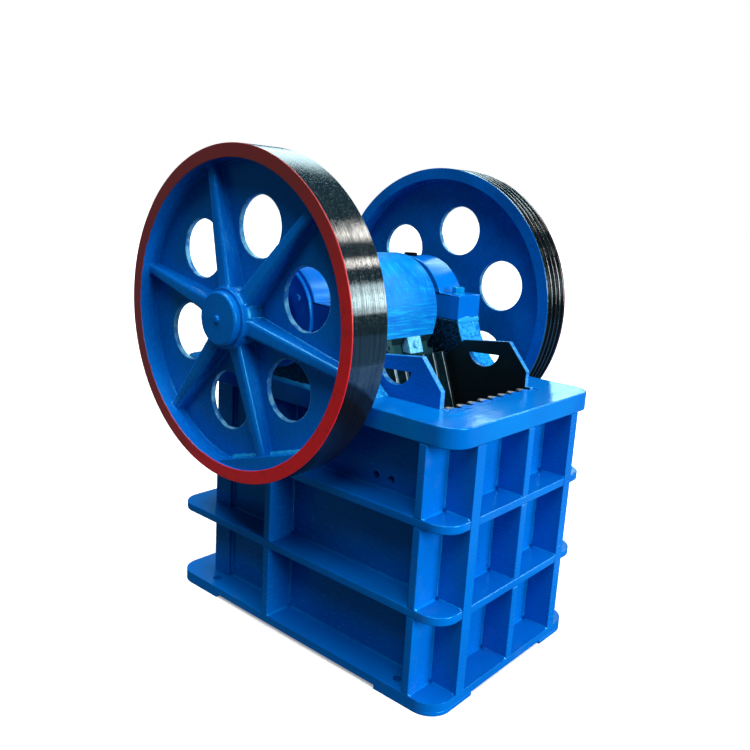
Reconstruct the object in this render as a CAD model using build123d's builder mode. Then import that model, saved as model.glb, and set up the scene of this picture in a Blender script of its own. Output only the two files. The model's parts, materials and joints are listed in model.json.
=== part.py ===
from build123d import *
import os
from math import atan2, cos, radians, sin, tan

os.makedirs("parts", exist_ok=True)

# Jaw crusher of the 250 by 400 mm class, in millimetres.
# X runs along the shaft with the plain flywheel at -X, the feed end is at -Y, Z is up.
# The origin is the centre of the anchor bolt pattern, at the underside of the foot pads.

# Frame plates and bays
ring_length = 1090
ring_width = 708
corner_radius = 68
pad_thickness = 12
pad_reach_x = 171
pad_reach_y = 205
plate_thickness = 24
lower_bay = 220
middle_bay = 222
upper_bay = 194
top_thickness = 55
flange_reach = 93
side_wall_thickness = 38
front_setback = 87
front_wall_thickness = 24
rear_setback = 95
rear_wall_thickness = 75
rear_wall_step = 14
centre_rib_width = 30
side_rib_width = 26
rear_rib_spacing = 280
rear_rib_width = 24
bolt_edge_x = 43
bolt_edge_y = 155
bolt_hole_radius = 14
cheek_bolt_z = 559
cheek_bolt_reach = 158
cheek_bolt_spacing = 54
cheek_bolt_radius = 11

# Shaft, bearings and wheels
shaft_from_feed_end = 653
shaft_above_top = 187
throw = 10
throw_angle = 276
opening_back_clearance = 20
journal_radius = 55
eccentric_radius = 75
wheel_seat_radius = 45
running_clearance = 0.08
bearing_width = 118
bearing_cap_radius = 158
bearing_ear_reach = 228
bearing_ear_height = 50
bearing_split_drop = 30
bearing_foot_reach = 334
bearing_flare = 12
bearing_edge_radius = 4
bearing_cover_radius = 150
bearing_cover_thickness = 14
plug_across_flats = 38
plug_height = 9
plug_inset = 24
wheel_radius = 450
rim_thickness = 37
wheel_gap = 34
flywheel_width = 126
pulley_width = 116
web_thickness = 15
hub_radius = 82
hub_inner_gap = 12
hub_front_proud = 16
wheel_cap_radius = 73
wheel_cap_thickness = 20
wheel_cap_chamfer = 5
cap_bolt_radius = 10
cap_bolt_height = 7
web_hole_circle_radius = 250
web_hole_radius = 82
web_hole_count = 6
web_hole_angle = 42.5
arm_hub_width = 48
arm_rim_width = 30
arm_seat = 8
arm_rim_recess = 26
weight_height = 34
weight_inset = 8
weight_arm = 3
groove_count = 4
groove_pitch = 25.5
groove_depth = 20
groove_mouth = 19
groove_floor = 9

# Crushing chamber
feed_gap = 250
discharge_gap = 45
jaw_base_thickness = 22
tooth_height = 30
tooth_count = 8
tooth_tip_share = 0.24
fixed_jaw_low = 200
fixed_jaw_below_top = 4
fixed_jaw_side_gap = 3
ledge_height = 30
ledge_depth = 40
cheek_thickness = 20
cheek_lip_setback = 18
cheek_shoulder_rise = 45
cheek_rise = 125
cheek_bevel_run = 69
cheek_top_run = 162
cheek_top_fall = 19
cheek_rear_bevel_run = 62
cheek_rear_bevel_fall = 52
cheek_low_reach = 197
cheek_above_jaw_foot = 36
cheek_seat_gap = 0.3
hand_hole_reach = 172
hand_hole_below_top = 50
hand_hole_width = 108
hand_hole_drop = 40
hand_hole_tilt = 3

# Swing jaw, hung on the eccentric
barrel_radius = 178
barrel_end_gap = 18
barrel_end_chamfer = 8
barrel_nose_drop = 63
nose_setback = 19
jaw_face_side_gap = 13
jaw_face_thickness = 60
moving_jaw_low = 215
moving_jaw_side_gap = 7
jaw_body_low = 190
jaw_bottom_depth = 135
toggle_z = 330
jaw_seat_depth = 145
jaw_seat_height = 120
barrel_back_angle = -30
pocket_above_seat = 10
pocket_below_shaft = 152
jaw_rib_width = 40
clamp_width = 64
clamp_spacing = 140
clamp_height = 50
clamp_depth = 32

# Toggle and tension rod at the back
toggle_thickness = 40
toggle_side_gap = 53
toggle_front_gap = 16
toggle_block_depth = 65
toggle_block_height = 110
toggle_block_side_gap = 53
seat_clearance = 0.3
rod_z = 140
rod_radius = 14
rod_hole_clearance = 3
rod_front_gap = 50
rod_tail = 40
washer_radius = 42
washer_thickness = 12
spring_length = 100
spring_outer_radius = 36
spring_inner_radius = 24
nut_across_flats = 46
nut_length = 24

# Levels and faces that follow from the sizes above
base_bottom = pad_thickness
base_top = base_bottom + plate_thickness
lower_ring_bottom = base_top + lower_bay
lower_ring_top = lower_ring_bottom + plate_thickness
upper_ring_bottom = lower_ring_top + middle_bay
upper_ring_top = upper_ring_bottom + plate_thickness
top_bottom = upper_ring_top + upper_bay
top_top = top_bottom + top_thickness
bays = [(base_top, lower_ring_bottom), (lower_ring_top, upper_ring_bottom), (upper_ring_top, top_bottom)]
ring_half_length = ring_length / 2
ring_half_width = ring_width / 2
wall_outer_x = ring_half_width - flange_reach
wall_inner_x = wall_outer_x - side_wall_thickness
bolt_spacing_x = ring_width - 2 * bolt_edge_x
bolt_spacing_y = ring_length - 2 * bolt_edge_y
front_wall_outer_y = -ring_half_length + front_setback
front_wall_inner_y = front_wall_outer_y + front_wall_thickness
rear_wall_outer_y = ring_half_length - rear_setback
rear_wall_inner_y = rear_wall_outer_y - rear_wall_thickness
rear_wall_end_x = wall_outer_x + rear_wall_step
jaw_depth = jaw_base_thickness + tooth_height
fixed_tip_y = front_wall_inner_y + jaw_depth
cheek_inner_x = wall_inner_x - cheek_thickness
cheek_front_y = fixed_tip_y - tooth_height + cheek_seat_gap
cheek_top_z = top_top + cheek_rise
hand_hole_y = cheek_front_y + hand_hole_reach
cheek_bolt_y = cheek_front_y + cheek_bolt_reach
shaft_y = shaft_from_feed_end - ring_half_length
shaft_z = top_top + shaft_above_top
opening_back_y = shaft_y + barrel_radius + throw + opening_back_clearance
eccentric_y = shaft_y + throw * cos(radians(throw_angle))
eccentric_z = shaft_z + throw * sin(radians(throw_angle))
barrel_half_length = cheek_inner_x - barrel_end_gap
nose_half_width = barrel_half_length - nose_setback
barrel_nose_z = eccentric_z - barrel_nose_drop
moving_jaw_high = barrel_nose_z - clamp_height
jaw_face_half_width = cheek_inner_x - jaw_face_side_gap
toggle_width = 2 * (cheek_inner_x - toggle_side_gap)
toggle_block_width = 2 * (wall_inner_x - toggle_block_side_gap)
bearing_inner_x = wall_inner_x
bearing_outer_x = bearing_inner_x + bearing_width
cover_outer_x = bearing_outer_x + bearing_cover_thickness
wheel_inner_x = ring_half_width + wheel_gap
weight_angle = web_hole_angle + (weight_arm + 0.5) * 360 / web_hole_count
jaw_lean = (feed_gap - discharge_gap) / (top_top - moving_jaw_low)
jaw_angle = atan2(feed_gap - discharge_gap, top_top - moving_jaw_low)
shaft_axis = Axis((0, shaft_y, shaft_z), (1, 0, 0))
shaft_plane = Plane(origin=(0, shaft_y, shaft_z), x_dir=(1, 0, 0), z_dir=(0, -1, 0))


def tip_y(z):
    """Depth of the moving jaw's tooth tips at height z."""
    return fixed_tip_y + discharge_gap + (z - moving_jaw_low) * jaw_lean


def face_y(z):
    """Depth of the swing jaw's front face at height z."""
    return tip_y(z) + jaw_depth / cos(jaw_angle)


def save(part, name):
    """Label a finished piece and write it out."""
    part.label = name
    export_step(part, f"parts/{name}.step")


def side_name(side):
    return "left" if side < 0 else "right"


def span(low, high):
    """Middle and length of an interval."""
    return (low + high) / 2, high - low


def add_box(x, y, z, mode=Mode.ADD):
    """Box between two corners, given as an interval on each axis."""
    (mid_x, size_x), (mid_y, size_y), (mid_z, size_z) = span(*x), span(*y), span(*z)
    with Locations((mid_x, mid_y, mid_z)):
        Box(size_x, size_y, size_z, mode=mode)


def sided(side, near, far):
    """Interval on X that mirrors with the side."""
    return (min(side * near, side * far), max(side * near, side * far))


def add_outline(bottom, thickness):
    """Rounded plate of the frame's full outline."""
    with BuildSketch(Plane.XY.offset(bottom)) as outline:
        RectangleRounded(ring_width, ring_length, corner_radius)
    extrude(outline.sketch, amount=thickness)


# Base plate and its pads

with BuildPart() as foot_pads:
    add_outline(0, pad_thickness)
    cross_x = (-ring_half_width + pad_reach_x, ring_half_width - pad_reach_x)
    cross_y = (-ring_half_length + pad_reach_y, ring_half_length - pad_reach_y)
    full_x = (-ring_half_width, ring_half_width)
    full_y = (-ring_half_length, ring_half_length)
    add_box(cross_x, full_y, (0, pad_thickness), Mode.SUBTRACT)
    add_box(full_x, cross_y, (0, pad_thickness), Mode.SUBTRACT)
    with Locations((0, 0, pad_thickness)):
        with GridLocations(bolt_spacing_x, bolt_spacing_y, 2, 2):
            Hole(bolt_hole_radius, pad_thickness)
save(foot_pads.part, "foot_pads")

with BuildPart() as base_plate:
    add_outline(base_bottom, plate_thickness)
    add_box((-wall_inner_x, wall_inner_x), (front_wall_inner_y, rear_wall_inner_y),
            (base_bottom, base_top), Mode.SUBTRACT)
    with Locations((0, 0, base_top)):
        with GridLocations(bolt_spacing_x, bolt_spacing_y, 2, 2):
            Hole(bolt_hole_radius, plate_thickness)
save(base_plate.part, "base_plate")


# Stiffening rings, notched round the walls, and the top plate

def stiffening_ring(bottom):
    levels = (bottom, bottom + plate_thickness)
    with BuildPart() as ring:
        add_outline(bottom, plate_thickness)
        add_box((-wall_outer_x, wall_outer_x), (-ring_half_length, rear_wall_inner_y), levels, Mode.SUBTRACT)
        add_box((-rear_wall_end_x, rear_wall_end_x), (rear_wall_inner_y, rear_wall_outer_y),
                levels, Mode.SUBTRACT)
        add_box((-wall_inner_x, wall_inner_x), (-ring_half_length, front_wall_outer_y), levels)
    return ring.part


save(stiffening_ring(lower_ring_bottom), "lower_ring")
save(stiffening_ring(upper_ring_bottom), "upper_ring")

with BuildPart() as top_plate:
    add_outline(top_bottom, top_thickness)
    add_box((-wall_inner_x, wall_inner_x), (front_wall_inner_y, opening_back_y),
            (top_bottom, top_top), Mode.SUBTRACT)
save(top_plate.part, "top_plate")

# Walls and ribs

wall_levels = (base_top, top_bottom)

for side in (-1, 1):
    with BuildPart() as side_wall:
        wall_x = sided(side, wall_inner_x, wall_outer_x)
        add_box(wall_x, (-ring_half_length, rear_wall_inner_y), wall_levels)
        for step in (-0.5, 0.5):
            bolt_place = (side * wall_inner_x, cheek_bolt_y + step * cheek_bolt_spacing, cheek_bolt_z)
            with Locations(Location(bolt_place, (0, 90, 0))):
                Cylinder(cheek_bolt_radius, 2 * side_wall_thickness, mode=Mode.SUBTRACT)
    save(side_wall.part, f"{side_name(side)}_side_wall")

with BuildPart() as front_wall:
    add_box((-wall_inner_x, wall_inner_x), (front_wall_outer_y, front_wall_inner_y), wall_levels)
save(front_wall.part, "front_wall")

with BuildPart() as rear_wall:
    add_box((-rear_wall_end_x, rear_wall_end_x), (rear_wall_inner_y, rear_wall_outer_y), wall_levels)
    with Locations(Plane(origin=(0, rear_wall_outer_y, rod_z), z_dir=(0, 1, 0))):
        Hole(rod_radius + rod_hole_clearance, rear_wall_thickness)
save(rear_wall.part, "rear_wall")

with BuildPart() as front_centre_ribs:
    for bay in bays:
        add_box((-centre_rib_width / 2, centre_rib_width / 2), (-ring_half_length, front_wall_outer_y), bay)
save(front_centre_ribs.part, "front_centre_ribs")

for side in (-1, 1):
    with BuildPart() as front_ribs:
        for bay in bays:
            add_box(sided(side, wall_outer_x, ring_half_width), (front_wall_outer_y, front_wall_inner_y), bay)
    save(front_ribs.part, f"{side_name(side)}_front_ribs")

    with BuildPart() as middle_ribs:
        for bay in bays:
            add_box(sided(side, wall_outer_x, ring_half_width),
                    (shaft_y - side_rib_width / 2, shaft_y + side_rib_width / 2), bay)
    save(middle_ribs.part, f"{side_name(side)}_middle_ribs")

with BuildPart() as rear_ribs:
    for bay in bays:
        for side in (-1, 1):
            middle = side * rear_rib_spacing / 2
            add_box((middle - rear_rib_width / 2, middle + rear_rib_width / 2),
                    (rear_wall_outer_y, ring_half_length), bay)
save(rear_ribs.part, "rear_ribs")


# Toothed jaw plates

def tooth_profile(half_width, tooth_half_width, outward, first_phase):
    """Section of a toothed plate: tips at zero depth, roots and back along outward."""
    pitch = 2 * tooth_half_width / tooth_count
    tip = tooth_tip_share * pitch / 2
    root = outward * tooth_height
    back = outward * jaw_depth
    points = [(-half_width, back), (-half_width, root)]
    for index in range(tooth_count):
        centre = -tooth_half_width + (index + first_phase) * pitch
        foot = pitch / 2 - tip
        points += [(centre - foot, root), (centre - tip, 0), (centre + tip, 0), (centre + foot, root)]
    points += [(half_width, root), (half_width, back)]
    return points


fixed_half_width = wall_inner_x - fixed_jaw_side_gap
fixed_jaw_high = top_top - fixed_jaw_below_top

with BuildPart() as fixed_jaw_plate:
    with BuildSketch(Plane.XY.offset(fixed_jaw_low).move(Location((0, fixed_tip_y, 0)))):
        with BuildLine():
            Polyline(tooth_profile(fixed_half_width, cheek_inner_x, -1, 0.5), close=True)
        make_face()
    extrude(amount=fixed_jaw_high - fixed_jaw_low)
save(fixed_jaw_plate.part, "fixed_jaw_plate")

with BuildPart() as jaw_ledge:
    add_box((-wall_inner_x, wall_inner_x), (front_wall_inner_y, front_wall_inner_y + ledge_depth),
            (fixed_jaw_low - ledge_height, fixed_jaw_low))
save(jaw_ledge.part, "jaw_ledge")

moving_half_width = cheek_inner_x - moving_jaw_side_gap
moving_length = (moving_jaw_high - moving_jaw_low) / cos(jaw_angle)
jaw_up = (0, sin(jaw_angle), cos(jaw_angle))

with BuildPart() as moving_jaw_plate:
    foot_plane = Plane(origin=(0, tip_y(moving_jaw_low), moving_jaw_low), x_dir=(1, 0, 0), z_dir=jaw_up)
    with BuildSketch(foot_plane):
        with BuildLine():
            Polyline(tooth_profile(moving_half_width, moving_half_width, 1, 0.5), close=True)
        make_face()
    extrude(amount=moving_length)
save(moving_jaw_plate.part, "moving_jaw_plate")

# Cheek plates with a hand hole

cheek_low = fixed_jaw_low + cheek_above_jaw_foot
cheek_lip_y = cheek_front_y + cheek_lip_setback
cheek_shoulder_z = top_top + cheek_shoulder_rise
cheek_top_y = cheek_lip_y + cheek_bevel_run
cheek_rear_y = cheek_top_y + cheek_top_run
cheek_rear_z = cheek_top_z - cheek_top_fall
hand_hole_flat_z = cheek_top_z - hand_hole_below_top
hand_hole_half = hand_hole_width / 2
hand_hole_rise = hand_hole_half * tan(radians(hand_hole_tilt))

for side in (-1, 1):
    with BuildPart() as cheek_plate:
        with BuildSketch(Plane.YZ.offset(sided(side, cheek_inner_x, wall_inner_x)[0])):
            with BuildLine():
                Polyline((cheek_front_y, cheek_low), (cheek_front_y, top_top), (cheek_lip_y, top_top),
                         (cheek_lip_y, cheek_shoulder_z), (cheek_top_y, cheek_top_z),
                         (cheek_rear_y, cheek_rear_z),
                         (cheek_rear_y + cheek_rear_bevel_run, cheek_rear_z - cheek_rear_bevel_fall),
                         (cheek_front_y + cheek_low_reach, cheek_low), close=True)
            make_face()
            with BuildLine(mode=Mode.PRIVATE) as hand_hole:
                flat = Line((hand_hole_y - hand_hole_half, hand_hole_flat_z + hand_hole_rise),
                            (hand_hole_y + hand_hole_half, hand_hole_flat_z - hand_hole_rise))
                ThreePointArc(flat @ 0, (hand_hole_y, hand_hole_flat_z - hand_hole_drop), flat @ 1)
            make_face(hand_hole.edges(), mode=Mode.SUBTRACT)
        extrude(amount=cheek_thickness)
    save(cheek_plate.part, f"{side_name(side)}_cheek_plate")

# Bearing housings: a footed base, and a round-topped cap whose ears part from it below the shaft

bearing_bore = journal_radius + running_clearance
bearing_split_z = shaft_z - bearing_split_drop
flare_reach = (bearing_foot_reach + bearing_ear_reach) / 2 - bearing_flare
flare_z = (top_top + bearing_split_z) / 2 - bearing_flare

for side in (-1, 1):
    name = side_name(side)
    inner_plane = Plane.YZ.offset(sided(side, bearing_inner_x, bearing_outer_x)[0])

    with BuildPart() as bearing_base:
        with BuildSketch(inner_plane):
            with BuildLine():
                split = Line((shaft_y - bearing_ear_reach, bearing_split_z),
                             (shaft_y + bearing_ear_reach, bearing_split_z))
                foot = Line((shaft_y - bearing_foot_reach, top_top), (shaft_y + bearing_foot_reach, top_top))
                ThreePointArc(split @ 0, (shaft_y - flare_reach, flare_z), foot @ 0)
                ThreePointArc(split @ 1, (shaft_y + flare_reach, flare_z), foot @ 1)
            make_face()
            with Locations((shaft_y, shaft_z)):
                Circle(bearing_bore, mode=Mode.SUBTRACT)
        extrude(amount=bearing_width)
    save(bearing_base.part, f"{name}_bearing_base")

    with BuildPart() as bearing_cap:
        with BuildSketch(inner_plane):
            with Locations((shaft_y, shaft_z)):
                Circle(bearing_cap_radius)
                Rectangle(2 * bearing_cap_radius, bearing_cap_radius, align=(Align.CENTER, Align.MAX),
                          mode=Mode.SUBTRACT)
            with Locations((shaft_y, bearing_split_z)):
                Rectangle(2 * bearing_ear_reach, bearing_split_drop + bearing_ear_height,
                          align=(Align.CENTER, Align.MIN))
            with Locations((shaft_y, shaft_z)):
                Circle(bearing_bore, mode=Mode.SUBTRACT)
                Rectangle(2 * bearing_bore, bearing_split_drop, align=(Align.CENTER, Align.MAX),
                          mode=Mode.SUBTRACT)
        extrude(amount=bearing_width)
        ear_corners = bearing_cap.edges().filter_by(Axis.X).filter_by_position(
            Axis.Z, shaft_z + bearing_ear_height / 2, shaft_z + bearing_cap_radius)
        fillet(ear_corners, bearing_edge_radius)
    save(bearing_cap.part, f"{name}_bearing_cap")

    with BuildPart() as bearing_cover:
        with BuildSketch(Plane.YZ.offset(sided(side, bearing_outer_x, cover_outer_x)[0])):
            with Locations((shaft_y, shaft_z)):
                Circle(bearing_cover_radius)
                Circle(bearing_bore, mode=Mode.SUBTRACT)
        extrude(amount=bearing_cover_thickness)
    save(bearing_cover.part, f"{name}_bearing_cover")

    with BuildPart() as grease_plug:
        with BuildSketch(Plane.XY.offset(shaft_z + bearing_cap_radius - plug_height)):
            with Locations((side * (bearing_inner_x + plug_inset), shaft_y)):
                RegularPolygon(plug_across_flats / 2, 6, major_radius=False)
        extrude(amount=2 * plug_height)
        add(bearing_cap.part, mode=Mode.SUBTRACT)
    save(grease_plug.part, f"{name}_grease_plug")


# Wheels: both are cast with a rim, a holed web, a hub and six tapered arms on the outer side

def wheel_arm(side, width):
    """One arm along +Y from the shaft, tapered in plan and sloping from the hub's face to the rim."""
    root = side * (wheel_inner_x + width / 2)
    face = side * (wheel_inner_x + width)
    hub_end = shaft_y + hub_radius - arm_seat
    slope_start = shaft_y + hub_radius + arm_seat
    rim_end = shaft_y + wheel_radius - rim_thickness + arm_seat
    with BuildPart() as arm:
        with BuildSketch(Plane.XY.offset(shaft_z)):
            with BuildLine():
                Polyline((root, hub_end), (face, hub_end), (face, slope_start),
                         (face - side * arm_rim_recess, rim_end), (root, rim_end), close=True)
            make_face()
        extrude(amount=arm_hub_width / 2, both=True)
        with BuildSketch(Plane.YZ) as plan:
            with BuildLine():
                Polyline((hub_end, shaft_z - arm_hub_width / 2), (rim_end, shaft_z - arm_rim_width / 2),
                         (rim_end, shaft_z + arm_rim_width / 2), (hub_end, shaft_z + arm_hub_width / 2),
                         close=True)
            make_face()
        extrude(plan.sketch, amount=2 * face, mode=Mode.INTERSECT)
    return arm.part


def wheel_body(side, width, grooves):
    """One wheel, turned about the shaft, with its arms facing away from the frame."""
    inner = wheel_inner_x
    outer = inner + width
    web_inner = (inner + outer - web_thickness) / 2
    web_outer = web_inner + web_thickness
    rim_inner_radius = wheel_radius - rim_thickness
    hub_inner = cover_outer_x + hub_inner_gap
    hub_outer = outer + hub_front_proud
    arm = wheel_arm(side, width)
    with BuildPart() as wheel:
        with BuildSketch(shaft_plane):
            for low, high, near, far in (
                (rim_inner_radius, wheel_radius, inner, outer),
                (hub_radius / 2, rim_inner_radius + rim_thickness / 2, web_inner, web_outer),
                (wheel_seat_radius, hub_radius, hub_inner, hub_outer),
            ):
                with Locations((side * (near + far) / 2, (low + high) / 2)):
                    Rectangle(far - near, high - low)
            with Locations((side * (hub_inner + hub_outer) / 2, wheel_seat_radius / 2)):
                Rectangle(hub_outer - hub_inner, wheel_seat_radius, mode=Mode.SUBTRACT)
            if grooves:
                first = (inner + outer - (groove_count - 1) * groove_pitch) / 2
                for index in range(groove_count):
                    centre = side * (first + index * groove_pitch)
                    with BuildLine():
                        Polyline((centre - groove_mouth / 2, wheel_radius),
                                 (centre - groove_floor / 2, wheel_radius - groove_depth),
                                 (centre + groove_floor / 2, wheel_radius - groove_depth),
                                 (centre + groove_mouth / 2, wheel_radius), close=True)
                    make_face(mode=Mode.SUBTRACT)
        revolve(axis=shaft_axis)
        for index in range(web_hole_count):
            turn = web_hole_angle + index * 360 / web_hole_count
            hole_turn = radians(turn)
            add(arm.rotate(shaft_axis, turn + 180 / web_hole_count))
            hole_place = (side * (web_inner + web_outer) / 2,
                          shaft_y + web_hole_circle_radius * cos(hole_turn),
                          shaft_z + web_hole_circle_radius * sin(hole_turn))
            with Locations(Location(hole_place, (0, 90, 0))):
                Cylinder(web_hole_radius, 2 * web_thickness, mode=Mode.SUBTRACT)
    return wheel.part


def wheel_weight(side, width, wheel):
    """Balance segment in the rim, in front of the web and centred on an arm."""
    rim_inner_radius = wheel_radius - rim_thickness
    web_outer = wheel_inner_x + (width + web_thickness) / 2
    outer = wheel_inner_x + width - weight_inset
    with BuildPart() as weight:
        with BuildSketch(Plane.YZ.offset(sided(side, web_outer, outer)[0])):
            with Locations((shaft_y, shaft_z)):
                Circle(rim_inner_radius)
            with Locations(Location((shaft_y, shaft_z), weight_angle)):
                Rectangle(2 * rim_inner_radius, 2 * rim_inner_radius, mode=Mode.INTERSECT,
                          align=(Align.MIN, Align.CENTER))
                Rectangle(rim_inner_radius - weight_height, 2 * rim_inner_radius, mode=Mode.SUBTRACT,
                          align=(Align.MIN, Align.CENTER))
        extrude(amount=outer - web_outer)
        add(wheel, mode=Mode.SUBTRACT)
    return weight.part


def wheel_cap(side, width):
    """Retaining disc over the end of the hub."""
    near = wheel_inner_x + width + hub_front_proud
    with BuildPart() as cap:
        with BuildSketch(Plane.YZ.offset(sided(side, near, near + wheel_cap_thickness)[0])):
            with Locations((shaft_y, shaft_z)):
                Circle(wheel_cap_radius)
        extrude(amount=wheel_cap_thickness)
        outer_face = cap.faces().sort_by(Axis.X)[0 if side < 0 else -1]
        chamfer(outer_face.edges(), wheel_cap_chamfer)
        bolt_plane = Plane.YZ.offset(sided(side, near, near + wheel_cap_thickness + cap_bolt_height)[0])
        with BuildSketch(bolt_plane):
            with Locations((shaft_y, shaft_z)):
                RegularPolygon(cap_bolt_radius, 6)
        extrude(amount=wheel_cap_thickness + cap_bolt_height)
    return cap.part


flywheel = wheel_body(-1, flywheel_width, False)
save(flywheel, "flywheel")
save(wheel_weight(-1, flywheel_width, flywheel), "flywheel_weight")
save(wheel_cap(-1, flywheel_width), "flywheel_cap")
pulley = wheel_body(1, pulley_width, True)
save(pulley, "pulley")
save(wheel_weight(1, pulley_width, pulley), "pulley_weight")
save(wheel_cap(1, pulley_width), "pulley_cap")

# Eccentric shaft

flywheel_end = wheel_inner_x + flywheel_width + hub_front_proud
pulley_end = wheel_inner_x + pulley_width + hub_front_proud

with BuildPart() as eccentric_shaft:
    with BuildSketch(Plane.YZ.offset(-cover_outer_x)):
        with Locations((shaft_y, shaft_z)):
            Circle(journal_radius)
    extrude(amount=2 * cover_outer_x)
    with BuildSketch(Plane.YZ.offset(-flywheel_end)):
        with Locations((shaft_y, shaft_z)):
            Circle(wheel_seat_radius)
    extrude(amount=flywheel_end + pulley_end)
    with BuildSketch(Plane.YZ):
        with Locations((eccentric_y, eccentric_z)):
            Circle(eccentric_radius)
    extrude(amount=barrel_half_length, both=True)
save(eccentric_shaft.part, "eccentric_shaft")

# Swing jaw casting: a barrel on the eccentric, a leaning face and a ribbed back

barrel_front_y = eccentric_y - barrel_radius
back_angle = radians(barrel_back_angle)
back_point = (eccentric_y + barrel_radius * cos(back_angle), eccentric_z + barrel_radius * sin(back_angle))
jaw_seat_y = face_y(toggle_z) + jaw_seat_depth
seat_low = toggle_z - jaw_seat_height / 2
seat_high = toggle_z + jaw_seat_height / 2
pocket_low = seat_high + pocket_above_seat
pocket_high = eccentric_z - pocket_below_shaft
bottom_front = (face_y(jaw_body_low), jaw_body_low)
bottom_back = (bottom_front[0] + jaw_bottom_depth, jaw_body_low)

with BuildPart() as swing_jaw:
    with Locations(Location((0, eccentric_y, eccentric_z), (0, 90, 0))):
        Cylinder(barrel_radius, 2 * barrel_half_length)
    chamfer(swing_jaw.edges().filter_by(GeomType.CIRCLE), barrel_end_chamfer)
    with BuildSketch(Plane.YZ):
        with Locations(((barrel_front_y + eccentric_y) / 2, (barrel_nose_z + eccentric_z) / 2)):
            Rectangle(barrel_radius, eccentric_z - barrel_nose_z)
        with BuildLine():
            Polyline((face_y(eccentric_z), eccentric_z), bottom_front, bottom_back, (jaw_seat_y, seat_low),
                     (jaw_seat_y, seat_high), back_point, close=True)
        make_face()
    extrude(amount=nose_half_width, both=True)
    with BuildSketch(Plane.YZ):
        slab = jaw_face_thickness / cos(jaw_angle)
        with BuildLine():
            Polyline((face_y(moving_jaw_high), moving_jaw_high), bottom_front,
                     (bottom_front[0] + slab, jaw_body_low),
                     (face_y(moving_jaw_high) + slab, moving_jaw_high), close=True)
        make_face()
    extrude(amount=jaw_face_half_width, both=True)
    for side in (-1, 1):
        pocket_near = jaw_rib_width / 2
        pocket_far = nose_half_width - jaw_rib_width
        with BuildSketch(Plane.YZ.offset(sided(side, pocket_near, pocket_far)[0])):
            with BuildLine():
                Polyline((face_y(pocket_low) + slab, pocket_low), (face_y(pocket_high) + slab, pocket_high),
                         (back_point[0], pocket_high), (back_point[0], pocket_low), close=True)
            make_face()
        extrude(amount=pocket_far - pocket_near, mode=Mode.SUBTRACT)
    with Locations(Location((0, eccentric_y, eccentric_z), (0, 90, 0))):
        Cylinder(eccentric_radius + running_clearance, 2 * barrel_half_length, mode=Mode.SUBTRACT)
save(swing_jaw.part, "swing_jaw")

# Clamps that wedge the moving jaw plate under the barrel

with BuildPart() as jaw_clamps:
    for side in (-1, 1):
        with BuildSketch(Plane.YZ.offset(side * clamp_spacing / 2)):
            with BuildLine():
                Polyline((face_y(moving_jaw_high), moving_jaw_high), (face_y(barrel_nose_z), barrel_nose_z),
                         (face_y(barrel_nose_z) - clamp_depth, barrel_nose_z),
                         (face_y(moving_jaw_high) - clamp_depth, moving_jaw_high), close=True)
            make_face()
        extrude(amount=clamp_width / 2, both=True)
    add(swing_jaw.part, mode=Mode.SUBTRACT)
save(jaw_clamps.part, "jaw_clamps")

# Toggle plate, its block and the tension rod

toggle_rear_y = rear_wall_inner_y - toggle_block_depth
toggle_front_y = jaw_seat_y + toggle_front_gap + toggle_thickness / 2

with BuildPart() as toggle_plate:
    with BuildSketch(Plane.YZ):
        with Locations(((toggle_front_y + toggle_rear_y) / 2, toggle_z)):
            SlotCenterToCenter(toggle_rear_y - toggle_front_y, toggle_thickness)
    extrude(amount=toggle_width / 2, both=True)
save(toggle_plate.part, "toggle_plate")

with BuildPart() as toggle_block:
    add_box((-toggle_block_width / 2, toggle_block_width / 2), (toggle_rear_y, rear_wall_inner_y),
            (toggle_z - toggle_block_height / 2, toggle_z + toggle_block_height / 2))
    with Locations(Location((0, toggle_rear_y, toggle_z), (0, 90, 0))):
        Cylinder(toggle_thickness / 2 + seat_clearance, toggle_block_width, mode=Mode.SUBTRACT)
save(toggle_block.part, "toggle_block")

front_washer_y = rear_wall_outer_y
rod_front_y = bottom_back[0] + rod_front_gap
spring_y = front_washer_y + washer_thickness
rear_washer_y = spring_y + spring_length
nut_y = rear_washer_y + washer_thickness
rod_end_y = nut_y + nut_length + rod_tail


def along_rod(y):
    """Sketch plane across the tension rod, facing the back."""
    return Plane(origin=(0, y, rod_z), x_dir=(1, 0, 0), z_dir=(0, 1, 0))


with BuildPart() as tension_rod:
    with BuildSketch(along_rod(rod_front_y)):
        Circle(rod_radius)
    extrude(amount=rod_end_y - rod_front_y)
save(tension_rod.part, "tension_rod")

with BuildPart() as spring_washers:
    for y in (front_washer_y, rear_washer_y):
        with BuildSketch(along_rod(y)):
            Circle(washer_radius)
            Circle(rod_radius, mode=Mode.SUBTRACT)
        extrude(amount=washer_thickness)
save(spring_washers.part, "spring_washers")

with BuildPart() as tension_spring:
    with BuildSketch(along_rod(spring_y)):
        Circle(spring_outer_radius)
        Circle(spring_inner_radius, mode=Mode.SUBTRACT)
    extrude(amount=spring_length)
save(tension_spring.part, "tension_spring")

with BuildPart() as tension_nut:
    with BuildSketch(along_rod(nut_y)):
        RegularPolygon(nut_across_flats / 2, 6, major_radius=False)
        Circle(rod_radius, mode=Mode.SUBTRACT)
    extrude(amount=nut_length)
save(tension_nut.part, "tension_nut")
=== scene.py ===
import json
from math import cos, pi, radians, sin

import bmesh
import bpy
import numpy as np
from mathutils import Matrix, Vector


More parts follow.
